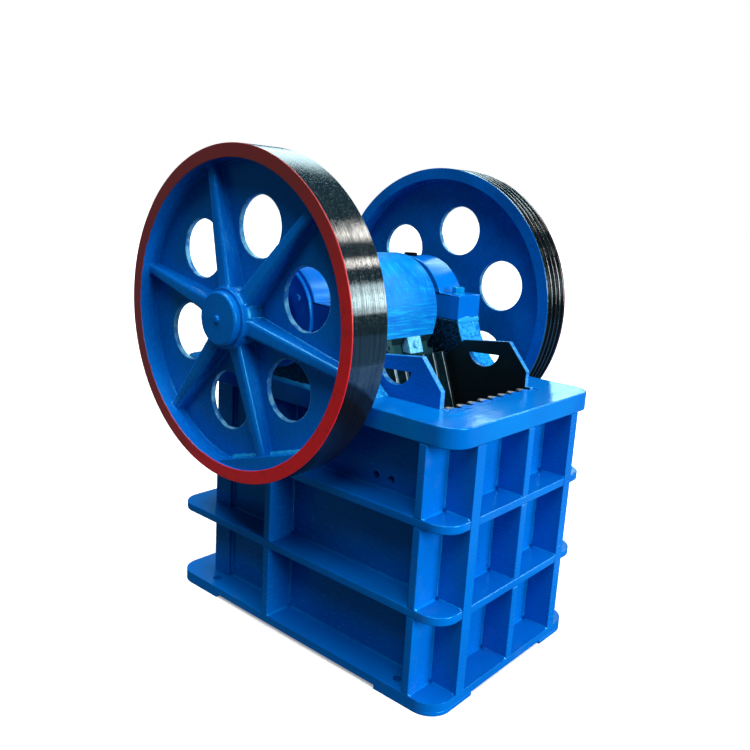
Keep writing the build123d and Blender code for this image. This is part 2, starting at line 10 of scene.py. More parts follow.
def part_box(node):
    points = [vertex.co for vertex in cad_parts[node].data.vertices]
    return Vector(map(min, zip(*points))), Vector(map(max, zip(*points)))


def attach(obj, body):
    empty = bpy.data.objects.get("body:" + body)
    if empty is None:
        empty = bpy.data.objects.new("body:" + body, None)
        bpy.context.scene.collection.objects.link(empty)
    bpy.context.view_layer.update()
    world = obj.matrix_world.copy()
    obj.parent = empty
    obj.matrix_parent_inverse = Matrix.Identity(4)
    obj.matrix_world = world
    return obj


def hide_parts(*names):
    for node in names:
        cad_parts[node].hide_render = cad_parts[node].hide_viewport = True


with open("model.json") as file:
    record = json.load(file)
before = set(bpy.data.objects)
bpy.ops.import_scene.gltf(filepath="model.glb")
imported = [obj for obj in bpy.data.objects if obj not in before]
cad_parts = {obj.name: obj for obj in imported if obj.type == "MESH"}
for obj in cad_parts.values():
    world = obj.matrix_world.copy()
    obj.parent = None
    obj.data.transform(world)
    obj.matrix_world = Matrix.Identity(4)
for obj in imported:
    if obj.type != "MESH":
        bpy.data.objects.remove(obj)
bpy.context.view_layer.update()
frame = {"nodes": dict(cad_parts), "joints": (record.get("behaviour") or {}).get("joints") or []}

nodes = frame["nodes"]
joint_places = {joint["name"]: Vector(joint["pos_m"]) for joint in frame["joints"]}
shaft = joint_places["shaft_spin"]
eccentric = joint_places["jaw_swing"]
LOW, HIGH = 0, 1
ALONG_X = np.array((1.0, 0.0, 0.0))
ALONG_Y = np.array((0.0, 1.0, 0.0))
UP = np.array((0.0, 0.0, 1.0))
SHARP_ANGLE = radians(35)
FLAT_ANGLE = radians(0.8)
ROUNDED_ANGLE = radians(32)


def edge_of(node, corner, axis):
    """One coordinate of a node's box: corner is LOW or HIGH, axis is 0, 1 or 2."""
    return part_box(node)[corner][axis]


# Surfaces as arrays

def grid_quads(rows, columns, wrap_columns=False):
    """Corner numbers of the quads between neighbouring points of a grid, row by row."""
    row = np.arange(rows - 1)
    column = np.arange(columns if wrap_columns else columns - 1)
    row, column = (part.ravel() for part in np.meshgrid(row, column, indexing="ij"))
    after = (column + 1) % columns
    below = row + 1
    return np.stack([row * columns + column, row * columns + after,
                     below * columns + after, below * columns + column], axis=1)


def across(axis):
    """Two unit vectors square to an axis and to each other."""
    axis = np.asarray(axis, float)
    helper = UP if abs(axis[2]) < 0.9 else ALONG_X
    first = np.cross(axis, helper)
    first /= np.linalg.norm(first)
    return first, np.cross(axis, first)


def turned(centre, axis, profile, limit=None, columns=48):
    """Profile of (radius, height) pairs turned about an axis.

    A point is centre + height * axis + radius * (cos a, sin a) in the plane across it, for a round the circle.
    limit, a function of a, draws the radius in, as the flats of a hexagon do.
    """
    radius, height = np.array(profile, float).T
    angle = np.linspace(0, 2 * pi, columns, endpoint=False)
    first, second = across(axis)
    reach = np.repeat(radius[:, None], columns, axis=1)
    if limit is not None:
        reach = np.minimum(reach, limit(angle)[None, :])
    ring = np.cos(angle)[:, None] * first + np.sin(angle)[:, None] * second
    points = (np.asarray(centre) + height[:, None, None] * np.asarray(axis, float)
              + reach[:, :, None] * ring[None, :, :])
    return points.reshape(-1, 3), grid_quads(len(radius), columns, wrap_columns=True)


def tube(path, radius, columns=14):
    """Round section carried along a path and closed to a point at both ends.

    A point is a point of the path + radius * (cos a, sin a) square to the path's tangent there.
    """
    tangent = np.gradient(path, axis=0)
    tangent /= np.linalg.norm(tangent, axis=1, keepdims=True)
    first = np.cross(tangent, ALONG_Y)
    first /= np.linalg.norm(first, axis=1, keepdims=True)
    second = np.cross(tangent, first)
    angle = np.linspace(0, 2 * pi, columns, endpoint=False)
    ends = np.ones(len(path))
    ends[[0, -1]] = 0
    ring = (np.cos(angle)[None, :, None] * first[:, None, :] + np.sin(angle)[None, :, None] * second[:, None, :])
    points = path[:, None, :] + radius * ends[:, None, None] * ring
    return points.reshape(-1, 3), grid_quads(len(path), columns, wrap_columns=True)


def hexagon(across_flats, turn=0.0):
    """Radius of a hexagon's sides against the angle round it."""
    sixth = pi / 3
    return lambda angle: across_flats / 2 / np.cos((angle + turn) % sixth - sixth / 2)


def make_piece(name, shells, body, finish):
    """One object from several closed shells, smooth and facing outwards, riding on a body."""
    starts = np.cumsum([0] + [len(points) for points, quads in shells])
    points = np.concatenate([points for points, quads in shells])
    quads = np.concatenate([quads + start for (_, quads), start in zip(shells, starts)])
    mesh = bpy.data.meshes.new(name)
    mesh.from_pydata(points.tolist(), [], quads.tolist())
    tidy = bmesh.new()
    tidy.from_mesh(mesh)
    bmesh.ops.remove_doubles(tidy, verts=tidy.verts, dist=1e-6)
    bmesh.ops.recalc_face_normals(tidy, faces=tidy.faces)
    tidy.to_mesh(mesh)
    tidy.free()
    mesh.shade_smooth()
    mesh.set_sharp_from_angle(angle=SHARP_ANGLE)
    mesh.materials.append(finish)
    piece = bpy.data.objects.new(name, mesh)
    bpy.context.scene.collection.objects.link(piece)
    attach(piece, body)
    return piece


# Finishes

def feed(tree, socket, value):
    """Give a socket a constant, or link it to the socket that feeds it."""
    if isinstance(value, bpy.types.NodeSocket):
        tree.links.new(value, socket)
    else:
        socket.default_value = value


def add_node(tree, kind, inputs=(), **settings):
    """New node of a tree; an input is a constant or the socket that feeds it."""
    made = tree.nodes.new(kind)
    for key, value in settings.items():
        setattr(made, key, value)
    for key, value in dict(inputs).items():
        feed(tree, made.inputs[key], value)
    return made


class Finish:
    """A material under construction, read by the coordinates of the object itself."""

    def __init__(self, name):
        self.material = bpy.data.materials.new(name)
        self.material.use_nodes = True
        self.tree = self.material.node_tree
        self.shader = self.tree.nodes["Principled BSDF"]
        self.place = add_node(self.tree, "ShaderNodeTexCoord").outputs["Object"]
        split = add_node(self.tree, "ShaderNodeSeparateXYZ", {0: self.place})
        self.x, self.y, self.z = split.outputs

    def math(self, operation, *values):
        return add_node(self.tree, "ShaderNodeMath", dict(enumerate(values)), operation=operation).outputs[0]

    def noise(self, scale, detail=3.0, roughness=0.55, stretch=(1, 1, 1), distortion=0.0):
        place = add_node(self.tree, "ShaderNodeMapping", {"Vector": self.place, "Scale": stretch}).outputs[0]
        inputs = {"Vector": place, "Scale": scale, "Detail": detail, "Roughness": roughness,
                  "Distortion": distortion}
        return add_node(self.tree, "ShaderNodeTexNoise", inputs).outputs[0]

    def cells(self, scale):
        inputs = {"Vector": self.place, "Scale": scale}
        return add_node(self.tree, "ShaderNodeTexVoronoi", inputs).outputs["Distance"]

    def ramp(self, value, low, high, to_low=0.0, to_high=1.0):
        """Smooth step from to_low to to_high while value goes from low to high."""
        inputs = {"Value": value, "From Min": low, "From Max": high, "To Min": to_low, "To Max": to_high}
        return add_node(self.tree, "ShaderNodeMapRange", inputs, interpolation_type="SMOOTHSTEP").outputs[0]

    def over(self, value, border, blur):
        """Share that rises from 0 to 1 where value passes the border."""
        return self.ramp(value, border - blur, border + blur)

    def under(self, value, border, blur):
        """Share that falls from 1 to 0 where value passes the border."""
        return self.ramp(value, border + blur, border - blur)

    def mix(self, share, first, second):
        inputs = {0: share, 6: first, 7: second}
        return add_node(self.tree, "ShaderNodeMix", inputs, data_type="RGBA").outputs[2]

    def blend(self, share, first, second):
        inputs = {0: share, 2: first, 3: second}
        return add_node(self.tree, "ShaderNodeMix", inputs, data_type="FLOAT").outputs[0]

    def bump(self, height, strength, depth, under=None):
        inputs = {"Height": height, "Strength": strength, "Distance": depth}
        if under is not None:
            inputs["Normal"] = under
        return add_node(self.tree, "ShaderNodeBump", inputs).outputs[0]

    def set(self, **inputs):
        """Feed inputs of the material's shader, named with _ for each space."""
        for key, value in inputs.items():
            feed(self.tree, self.shader.inputs[key.replace("_", " ")], value)

    def from_shaft(self):
        """Distances behind and above the shaft's axis, which runs along X."""
        return self.math("SUBTRACT", self.y, shaft.y), self.math("SUBTRACT", self.z, shaft.z)

    def diagonal(self, first, second):
        """Length of the diagonal over two lengths that are square to each other."""
        return self.math("SQRT", self.math("ADD", self.math("MULTIPLY", first, first),
                                           self.math("MULTIPLY", second, second)))


def light_share(part):
    """Share of light in one screen value from 0 to 255, by the sRGB curve."""
    return ((part / 255 + 0.055) / 1.055) ** 2.4 if part > 10 else part / 3295


def rgb(red, green, blue):
    """Scene colour of a screen colour given from 0 to 255."""
    return light_share(red), light_share(green), light_share(blue), 1


BRIGHT_BLUE = rgb(0, 102, 194)
DEEP_BLUE = rgb(0, 89, 180)
NAVY = rgb(0, 78, 154)
SKY_BLUE = rgb(0, 132, 198)
# Pale blue of the painted highlight on the cheek plates' edges.
EDGE_HIGHLIGHT_BLUE = rgb(70, 170, 222)
# Pale blue of the painted highlight round the wheels' holes.
HOLE_HIGHLIGHT_BLUE = rgb(122, 202, 236)
SHEEN = (0.1, 0.8, 1.0, 1)
RED = rgb(206, 17, 15)
DARK_RED = rgb(150, 15, 14)
# Brown of the painted shade on the red rim faces.
SHADED_BROWN_RED = rgb(124, 36, 28)
BLACK = rgb(11, 13, 14)
WARM_BLACK = rgb(21, 23, 24)
STEEL = rgb(150, 150, 148)
DARK_STEEL = rgb(58, 58, 60)
OILED = rgb(28, 27, 26)
DUST = rgb(120, 128, 126)
WHITE = (1, 1, 1, 1)
HOLE_ANGLE = radians(42.5)
HOLE_SPACING = pi / 3
HOLE_CIRCLE = 0.250
HOLE_RADIUS = 0.082
HOLE_HIGHLIGHT_WIDTH = 0.0023
RED_DEPTH = 0.0028
TREAD_END = 0.0012
PAINT_BLUR = 0.0006
FACE_BLUR = 0.001


def brushed_layers(finish, strokes, brushing=0.08):
    """Brush strokes and orange peel shared by the enamels: returns the stroke pattern and the surface normal."""
    pattern = finish.noise(1.0, detail=4, roughness=0.6, stretch=strokes)
    fine = finish.noise(420, detail=1)
    normal = finish.bump(fine, 0.12, 0.0004)
    waves = finish.noise(14, detail=2)
    normal = finish.bump(waves, 0.25, 0.0016, normal)
    return pattern, finish.bump(pattern, brushing, 0.0009, normal)


def enamel(name, bright, deep, strokes=(40, 40, 220), roughness=0.24, dust=0.08, brushing=0.08):
    """Glossy brushed enamel: tone drifts slowly, strokes change the gloss, and dust lies in soft patches."""
    finish = Finish(name)
    pattern, normal = brushed_layers(finish, strokes, brushing=brushing)
    drift = finish.noise(2.6, detail=4)
    colour = finish.mix(finish.ramp(drift, 0.3, 0.7), deep, bright)
    colour = finish.mix(finish.ramp(pattern, 0.35, 0.8, 0, 0.1), colour, deep)
    patches = finish.ramp(finish.noise(7, detail=6, roughness=0.7), 0.56, 0.78, 0, dust)
    colour = finish.mix(patches, colour, DUST)
    gloss = finish.ramp(pattern, 0.25, 0.75, roughness - 0.03, roughness + 0.05)
    gloss = finish.blend(patches, gloss, 0.6)
    finish.set(Base_Color=colour, Roughness=gloss, Normal=normal, Specular_IOR_Level=0.7, Specular_Tint=SHEEN)
    return finish.material


def barrel_finish(name, nose):
    """Enamel brushed along the barrel, with strokes round its upper part.

    Below the height nose it is black: bare casting on the jaw's face, and painted shade on the barrel's underside.
    """
    finish = Finish(name)
    round_top = finish.noise(1.0, detail=5, roughness=0.65, stretch=(150, 26, 26), distortion=0.4)
    along = finish.noise(1.0, detail=5, roughness=0.7, stretch=(7, 170, 170), distortion=0.2)
    strokes = finish.blend(finish.ramp(finish.z, nose + 0.08, nose + 0.2), along, round_top)
    patches = finish.noise(9, detail=4)
    normal = finish.bump(strokes, 0.6, 0.001)
    blue = finish.mix(finish.ramp(patches, 0.3, 0.7), DEEP_BLUE, rgb(0, 126, 192))
    blue = finish.mix(finish.ramp(strokes, 0.46, 0.3, 0, 0.5), blue, BRIGHT_BLUE)
    blue = finish.mix(finish.ramp(strokes, 0.5, 0.66, 0, 0.65), blue, rgb(10, 166, 218))
    lumps = finish.noise(70, detail=5, roughness=0.65)
    black = finish.mix(finish.ramp(lumps, 0.4, 0.7), rgb(6, 8, 12), rgb(20, 22, 28))
    # Black below the nose: bare casting, with painted shade on the barrel's underside.
    below = finish.under(finish.z, nose, FACE_BLUR)
    finish.set(Base_Color=finish.mix(below, blue, black), Normal=finish.bump(lumps, 0.2, 0.001, normal),
               Roughness=finish.blend(below, finish.ramp(strokes, 0.3, 0.7, 0.38, 0.56), 0.6),
               Specular_IOR_Level=0.7, Specular_Tint=SHEEN)
    return finish.material


def hole_edge_highlight(finish, behind, above, radius):
    """Share of painted highlight round a wheel's holes; the angle is wrapped, so that one hole stands for all six.
    """
    turn = finish.math("SUBTRACT", finish.math("ARCTAN2", above, behind), HOLE_ANGLE)
    turn = finish.math("WRAP", turn, HOLE_SPACING / 2, -HOLE_SPACING / 2)
    outward = finish.math("SUBTRACT", finish.math("MULTIPLY", radius, finish.math("COSINE", turn)), HOLE_CIRCLE)
    sideways = finish.math("MULTIPLY", radius, finish.math("SINE", turn))
    from_hole = finish.diagonal(outward, sideways)
    # Noise breaks the painted highlight round the holes into patches.
    rubbed = finish.ramp(finish.noise(26, detail=5, roughness=0.65), 0.4, 0.6, 0.1, 0.85)
    return finish.math("MULTIPLY", finish.under(from_hole, HOLE_RADIUS + HOLE_HIGHLIGHT_WIDTH, 0.0011), rubbed)


def shaded_red(finish, scuffs, behind, above):
    """Red that is darker in its scuffs, with painted shade that turns it brown towards the top and the back of a
    wheel.
    """
    red = finish.mix(scuffs, RED, DARK_RED)
    # Noise makes the edge of the painted shade uneven.
    stains = finish.math("MULTIPLY", finish.noise(9, detail=5), 0.3)
    # Painted shade: the red turns brown towards the top and the back of the wheel.
    shade_toward_top = finish.math("ADD", finish.math("ADD", behind, above), stains)
    return finish.mix(finish.ramp(shade_toward_top, -0.45, 0.3), red, SHADED_BROWN_RED)


def wheel_finish(name, face, inward, width, rim_side, black_from, colour_deep):
    """Blue wheel enamel with a painted pale highlight on the holes' edges, a black tread and a hand-painted red rim
    face.

    face is the rim's outer face, inward its way in along X and width the rim's width. The red begins at the radius
    rim_side and the black at the radius black_from. colour_deep is the darker of its two blues.
    """
    finish = Finish(name)
    pattern, normal = brushed_layers(finish, (150, 45, 45), brushing=0.22)
    behind, above = finish.from_shaft()
    radius = finish.diagonal(behind, above)
    ragged = finish.math("MULTIPLY", finish.math("SUBTRACT", finish.noise(60, detail=3), 0.5), 0.006)
    edge = finish.math("ADD", radius, ragged)
    depth = finish.math("MULTIPLY", finish.math("SUBTRACT", finish.x, face), inward)
    ragged_depth = finish.math("ADD", depth, finish.math("MULTIPLY", ragged, 0.35))
    drift = finish.noise(3.5, detail=4)
    colour = finish.mix(finish.ramp(drift, 0.3, 0.7), colour_deep, BRIGHT_BLUE)
    # Painted highlight round the holes.
    colour = finish.mix(hole_edge_highlight(finish, behind, above, radius), colour, HOLE_HIGHLIGHT_BLUE)
    gloss = finish.ramp(pattern, 0.25, 0.75, 0.18, 0.36)
    tread = finish.math("MULTIPLY", finish.over(ragged_depth, RED_DEPTH, PAINT_BLUR),
                        finish.under(ragged_depth, width - TREAD_END, PAINT_BLUR))
    tread = finish.math("MULTIPLY", tread, finish.over(radius, black_from, FACE_BLUR))
    streaks = finish.noise(1.0, detail=5, roughness=0.7, stretch=(240, 5, 5))
    specks = finish.ramp(finish.noise(240, detail=2, roughness=0.6), 0.6, 0.72)
    black = finish.mix(finish.ramp(streaks, 0.4, 0.75), BLACK, WARM_BLACK)
    colour = finish.mix(tread, colour, black)
    gloss = finish.blend(tread, gloss, finish.ramp(streaks, 0.3, 0.75, 0.03, 0.12))
    rough_coat = finish.bump(finish.math("ADD", streaks, finish.math("MULTIPLY", specks, 0.5)), 0.32, 0.0008)
    normal = add_node(finish.tree, "ShaderNodeMix", {0: tread, 4: normal, 5: rough_coat},
                      data_type="VECTOR").outputs[1]
    red_face = finish.math("MULTIPLY", finish.under(ragged_depth, RED_DEPTH, PAINT_BLUR),
                           finish.over(edge, rim_side, FACE_BLUR))
    scuffs = finish.ramp(finish.noise(38, detail=6, roughness=0.75), 0.5, 0.72)
    # Red rim face, with painted shade towards the top and the back.
    colour = finish.mix(red_face, colour, shaded_red(finish, scuffs, behind, above))
    gloss = finish.blend(red_face, gloss, finish.ramp(scuffs, 0, 1, 0.3, 0.5))
    sheen = finish.mix(red_face, finish.mix(tread, SHEEN, WHITE), (1, 0.8, 0.75, 1))
    shine = finish.blend(tread, 0.7, finish.ramp(streaks, 0.4, 0.58, 0.6, 1.2))
    finish.set(Base_Color=colour, Roughness=gloss, Normal=normal, Specular_IOR_Level=shine, Specular_Tint=sheen)
    return finish.material


def cast_enamel(name, inner_face, outer_face):
    """Enamel over a rough sand casting: lumps and pits show through it, and its two sides carry painted shade,
    nearly black.

    Both sides are given as distances from the middle of the machine.
    """
    finish = Finish(name)
    lumps = finish.noise(80, detail=5, roughness=0.65)
    pits = finish.cells(150)
    normal = finish.bump(lumps, 1.0, 0.006)
    normal = finish.bump(pits, 0.6, 0.002, normal)
    colour = finish.mix(finish.ramp(lumps, 0.35, 0.65), BRIGHT_BLUE, rgb(30, 148, 212))
    # Painted shade: both sides of the casting, inner and outer, are darkened nearly black.
    out = finish.math("ABSOLUTE", finish.x)
    sides = finish.math("ADD", finish.under(out, inner_face + 0.002, FACE_BLUR),
                        finish.over(out, outer_face - 0.002, FACE_BLUR))
    colour = finish.mix(sides, colour, finish.mix(finish.ramp(lumps, 0.48, 0.66), rgb(2, 6, 18), rgb(0, 34, 84)))
    finish.set(Base_Color=colour, Roughness=finish.ramp(lumps, 0.3, 0.7, 0.16, 0.4), Normal=normal,
               Specular_IOR_Level=0.9, Specular_Tint=SHEEN)
    return finish.material


def cheek_finish(name, inner_face, outer_face):
    """Blue cheek plate with a black inner face and a painted pale highlight on its edges.

    Both faces are given as distances from the middle of the machine.
    """
    finish = Finish(name)
    pattern, normal = brushed_layers(finish, (60, 40, 160))
    out = finish.math("ABSOLUTE", finish.x)
    inside = finish.under(out, inner_face + 0.0017, 0.0005)
    scrapes = finish.ramp(finish.noise(1.0, detail=5, roughness=0.7, stretch=(30, 60, 14)), 0.55, 0.8)
    black = finish.mix(scrapes, rgb(8, 9, 11), rgb(30, 31, 33))
    blue = finish.mix(finish.ramp(finish.noise(3, detail=3), 0.3, 0.7), NAVY, DEEP_BLUE)
    # Painted highlight: the plate's edges, between its two faces, are mixed towards pale blue.
    edge = finish.math("MULTIPLY", finish.over(out, inner_face + 0.002, FACE_BLUR),
                       finish.under(out, outer_face - 0.0017, 0.0007))
    blue = finish.mix(finish.math("MULTIPLY", edge, finish.ramp(pattern, 0.3, 0.6, 0.05, 0.35)), blue, EDGE_HIGHLIGHT_BLUE)
    gloss = finish.blend(inside, finish.ramp(pattern, 0.25, 0.75, 0.18, 0.34),
                         finish.ramp(scrapes, 0, 1, 0.4, 0.55))
    finish.set(Base_Color=finish.mix(inside, blue, black), Roughness=gloss, Normal=normal,
               Specular_IOR_Level=0.6, Specular_Tint=SHEEN)
    return finish.material


def jaw_finish(name, lean, crest, worn_depth, steel, painted=None):
    """Black cast jaw plate whose tooth crests are worn to bare steel.

    crest is the value of y - lean * z on the crests, worn_depth how far the wear reaches down the flanks, and steel
    its colour. painted gives the height and depth of a top band that the frame's paint runs over.
    """
    finish = Finish(name)
    lumps = finish.noise(90, detail=5, roughness=0.65)
    normal = finish.bump(lumps, 0.5, 0.0015)
    height = finish.math("SUBTRACT", finish.y, finish.math("MULTIPLY", finish.z, lean))
    below = finish.math("ABSOLUTE", finish.math("SUBTRACT", height, crest))
    ragged = finish.math("MULTIPLY", finish.noise(30, detail=5, roughness=0.7), 2 * worn_depth)
    worn = finish.ramp(finish.math("ADD", below, ragged), 2.2 * worn_depth, 1.2 * worn_depth)
    colour = finish.mix(finish.ramp(lumps, 0.35, 0.7), rgb(3, 7, 12), rgb(11, 20, 28))
    colour = finish.mix(worn, colour, steel)
    gloss = finish.blend(worn, finish.ramp(lumps, 0.3, 0.7, 0.38, 0.6), 0.3)
    metal = worn
    if painted is not None:
        top, front = painted
        end_face = finish.over(finish.z, top - 0.003, FACE_BLUR)
        band = finish.math("MULTIPLY", end_face, finish.under(finish.y, front - 0.001, FACE_BLUR))
        colour = finish.mix(end_face, colour, finish.mix(finish.ramp(lumps, 0.3, 0.7), DARK_STEEL, STEEL))
        colour = finish.mix(band, colour, BRIGHT_BLUE)
        gloss = finish.blend(band, gloss, 0.25)
        metal = finish.math("MULTIPLY", worn, finish.math("SUBTRACT", 1.0, band))
    finish.set(Base_Color=colour, Roughness=gloss, Metallic=metal, Normal=normal, Specular_Tint=SHEEN)
    return finish.material


def clamp_finish(name):
    """Clamps over the moving jaw plate: one painted pale blue and rubbed, the other black as painted shade."""
    finish = Finish(name)
    rubbed = finish.noise(110, detail=6, roughness=0.75)
    pale = finish.mix(finish.ramp(rubbed, 0.3, 0.7), rgb(40, 146, 210), rgb(130, 198, 226))
    black = finish.mix(finish.ramp(rubbed, 0.45, 0.7), rgb(6, 8, 10), rgb(34, 40, 46))
    # Painted shade: the clamp on the left, x below 0, is black.
    finish.set(Base_Color=finish.mix(finish.over(finish.x, 0, FACE_BLUR), black, pale), Specular_Tint=SHEEN,
               Roughness=finish.ramp(rubbed, 0.3, 0.7, 0.35, 0.55), Normal=finish.bump(rubbed, 0.4, 0.0012))
    return finish.material


def bare_steel(name, colour, shade, stretch=(60, 60, 60), roughness=0.34):
    """Machined or oiled steel with fine turning marks and darker stains."""
    finish = Finish(name)
    marks = finish.noise(1.0, detail=4, roughness=0.6, stretch=stretch)
    stains = finish.ramp(finish.noise(14, detail=6, roughness=0.7), 0.42, 0.68)
    finish.set(Base_Color=finish.mix(stains, colour, shade), Metallic=1.0,
               Roughness=finish.ramp(marks, 0.3, 0.7, roughness - 0.1, roughness + 0.16),
               Normal=finish.bump(marks, 0.25, 0.0005))
    return finish.material


frame_blue = enamel("frame_blue_enamel", BRIGHT_BLUE, DEEP_BLUE)
plate_blue = enamel("plate_blue_enamel", BRIGHT_BLUE, DEEP_BLUE, strokes=(26, 150, 60), roughness=0.2)
top_blue = enamel("top_plate_blue_enamel", rgb(0, 112, 196), DEEP_BLUE, strokes=(9, 70, 60), roughness=0.15,
                  dust=0.03, brushing=1.0)
barrel_blue = barrel_finish("barrel_blue_enamel", edge_of("jaw_clamps", HIGH, 2))
housing_blue = enamel("housing_blue_enamel", BRIGHT_BLUE, DEEP_BLUE, strokes=(90, 20, 20), roughness=0.22,
                      dust=0.05)
clamp_blue = clamp_finish("clamp_enamel")
bolt_blue = enamel("bolt_blue_enamel", SKY_BLUE, DEEP_BLUE, strokes=(80, 80, 80), dust=0.1)
weld_blue = enamel("weld_blue_enamel", rgb(0, 114, 198), DEEP_BLUE, strokes=(70, 70, 70), roughness=0.14,
                   dust=0.05)
# Paler blue than the frame's paint: painted highlights on the lumpy welds.
weld_highlight_blue = enamel("rough_weld_blue_enamel", rgb(40, 152, 214), SKY_BLUE, strokes=(90, 90, 90), roughness=0.2,
                         dust=0.05)
pedestal_blue = cast_enamel("pedestal_cast_enamel", edge_of("right_bearing_base", LOW, 0),
                            edge_of("right_bearing_base", HIGH, 0))
shaft_steel = bare_steel("shaft_steel", STEEL, DARK_STEEL, stretch=(900, 20, 20))
rod_steel = bare_steel("rod_steel", DARK_STEEL, OILED, stretch=(30, 400, 30), roughness=0.42)
plug_black = bare_steel("plug_black", rgb(26, 27, 30), rgb(14, 14, 16), roughness=0.45)
toggle_steel = bare_steel("toggle_steel", DARK_STEEL, OILED, stretch=(40, 10, 40), roughness=0.5)

RIM_THICKNESS = 0.037
FLYWHEEL_FRONT = -0.514
FLYWHEEL_BACK = -0.388
FLYWHEEL_BLACK_DEPTH = 0.006
PULLEY_NEAR = 0.388
PULLEY_FAR = 0.504
PULLEY_BLACK_DEPTH = 0.022
rim_low, rim_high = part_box("flywheel")
rim_radius = (rim_high.y - rim_low.y) / 2
rim_inside = rim_radius - RIM_THICKNESS
flywheel_paint = wheel_finish("flywheel_enamel", FLYWHEEL_FRONT, 1, FLYWHEEL_BACK - FLYWHEEL_FRONT, rim_inside,
                              rim_radius - FLYWHEEL_BLACK_DEPTH, DEEP_BLUE)
pulley_paint = wheel_finish("pulley_enamel", PULLEY_FAR, -1, PULLEY_FAR - PULLEY_NEAR, rim_inside,
                            rim_radius - PULLEY_BLACK_DEPTH, NAVY)

JAW_LEAN = 205 / 560
TOOTH_HEIGHT = 0.03
MOVING_FOOT_TIP = (-0.337, 0.215)
FIXED_WEAR = 0.004
MOVING_WEAR = 0.0012
cheek_inner = edge_of("right_cheek_plate", LOW, 0)
fixed_crest = edge_of("fixed_jaw_plate", HIGH, 1)
fixed_top = edge_of("fixed_jaw_plate", HIGH, 2)
moving_crest = MOVING_FOOT_TIP[0] - JAW_LEAN * MOVING_FOOT_TIP[1]
cheek_paint = cheek_finish("cheek_enamel", cheek_inner, edge_of("right_cheek_plate", HIGH, 0))
fixed_jaw_black = jaw_finish("fixed_jaw_casting", 0.0, fixed_crest, FIXED_WEAR, STEEL,
                             painted=(fixed_top, fixed_crest - 0.6 * TOOTH_HEIGHT))
moving_jaw_black = jaw_finish("moving_jaw_casting", JAW_LEAN, moving_crest, MOVING_WEAR, rgb(96, 106, 112))


def dress(finish, *names):
    """Give CAD nodes a finish."""
    for name in names:
        nodes[name].data.materials.clear()
        nodes[name].data.materials.append(finish)


SIDES = {"left": -1, "right": 1}


def both_sides(*pieces):
    """Names of the left and the right node of each piece."""
    return [f"{side}_{piece}" for side in SIDES for piece in pieces]


FLANK_PIECES = both_sides("side_wall", "front_ribs", "middle_ribs")
dress(frame_blue, "front_wall", "rear_wall", "front_centre_ribs", "rear_ribs", "toggle_block", "jaw_ledge",
      *FLANK_PIECES)
dress(plate_blue, "foot_pads", "base_plate", "lower_ring", "upper_ring")
dress(top_blue, "top_plate")
dress(barrel_blue, "swing_jaw")
dress(clamp_blue, "jaw_clamps")
dress(housing_blue, *both_sides("bearing_cap", "bearing_cover"))
dress(pedestal_blue, *both_sides("bearing_base"))
dress(cheek_paint, *both_sides("cheek_plate"))
dress(flywheel_paint, "flywheel", "flywheel_cap", "flywheel_weight")
dress(pulley_paint, "pulley", "pulley_cap", "pulley_weight")
dress(fixed_jaw_black, "fixed_jaw_plate")
dress(moving_jaw_black, "moving_jaw_plate")
dress(shaft_steel, "eccentric_shaft")
dress(toggle_steel, "toggle_plate")
dress(rod_steel, "tension_rod", "spring_washers", "tension_spring", "tension_nut")
dress(plug_black, *both_sides("grease_plug"))


# Softened edges

def geometry_group(name):
    """Empty node group with one geometry in and one out; returns it with the sockets at both ends."""
    group = bpy.data.node_groups.new(name, "GeometryNodeTree")
    for way in ("INPUT", "OUTPUT"):
        group.interface.new_socket("Geometry", in_out=way, socket_type="NodeSocketGeometry")
    return group, group.nodes.new("NodeGroupInput").outputs[0], group.nodes.new("NodeGroupOutput").inputs[0]


def rounding_group():
    """Node group that drops stored normals and joins the loose triangles, so that edges can be rounded."""
    group, start, end = geometry_group("join_facets")
    forget = add_node(group, "GeometryNodeRemoveAttribute", {"Geometry": start, "Name": "custom_normal"})
    joined = add_node(group, "GeometryNodeMergeByDistance", {"Geometry": forget.outputs[0], "Distance": 1e-5})
    smooth = add_node(group, "GeometryNodeSetShadeSmooth", {"Geometry": joined.outputs[0], "Shade Smooth": True})
    group.links.new(smooth.outputs[0], end)
    return group


join_facets = rounding_group()
WEB_HALF = 0.0075
HUB_RADIUS = 0.082
WEB_MARGIN = 0.003
RADIUS_MARGIN = 0.004
HOLLOW_BEND = -0.35
RIDGE_BEND = 0.55
HOLLOW_SHARE = 0.28
RIDGE_SHARE = 0.2


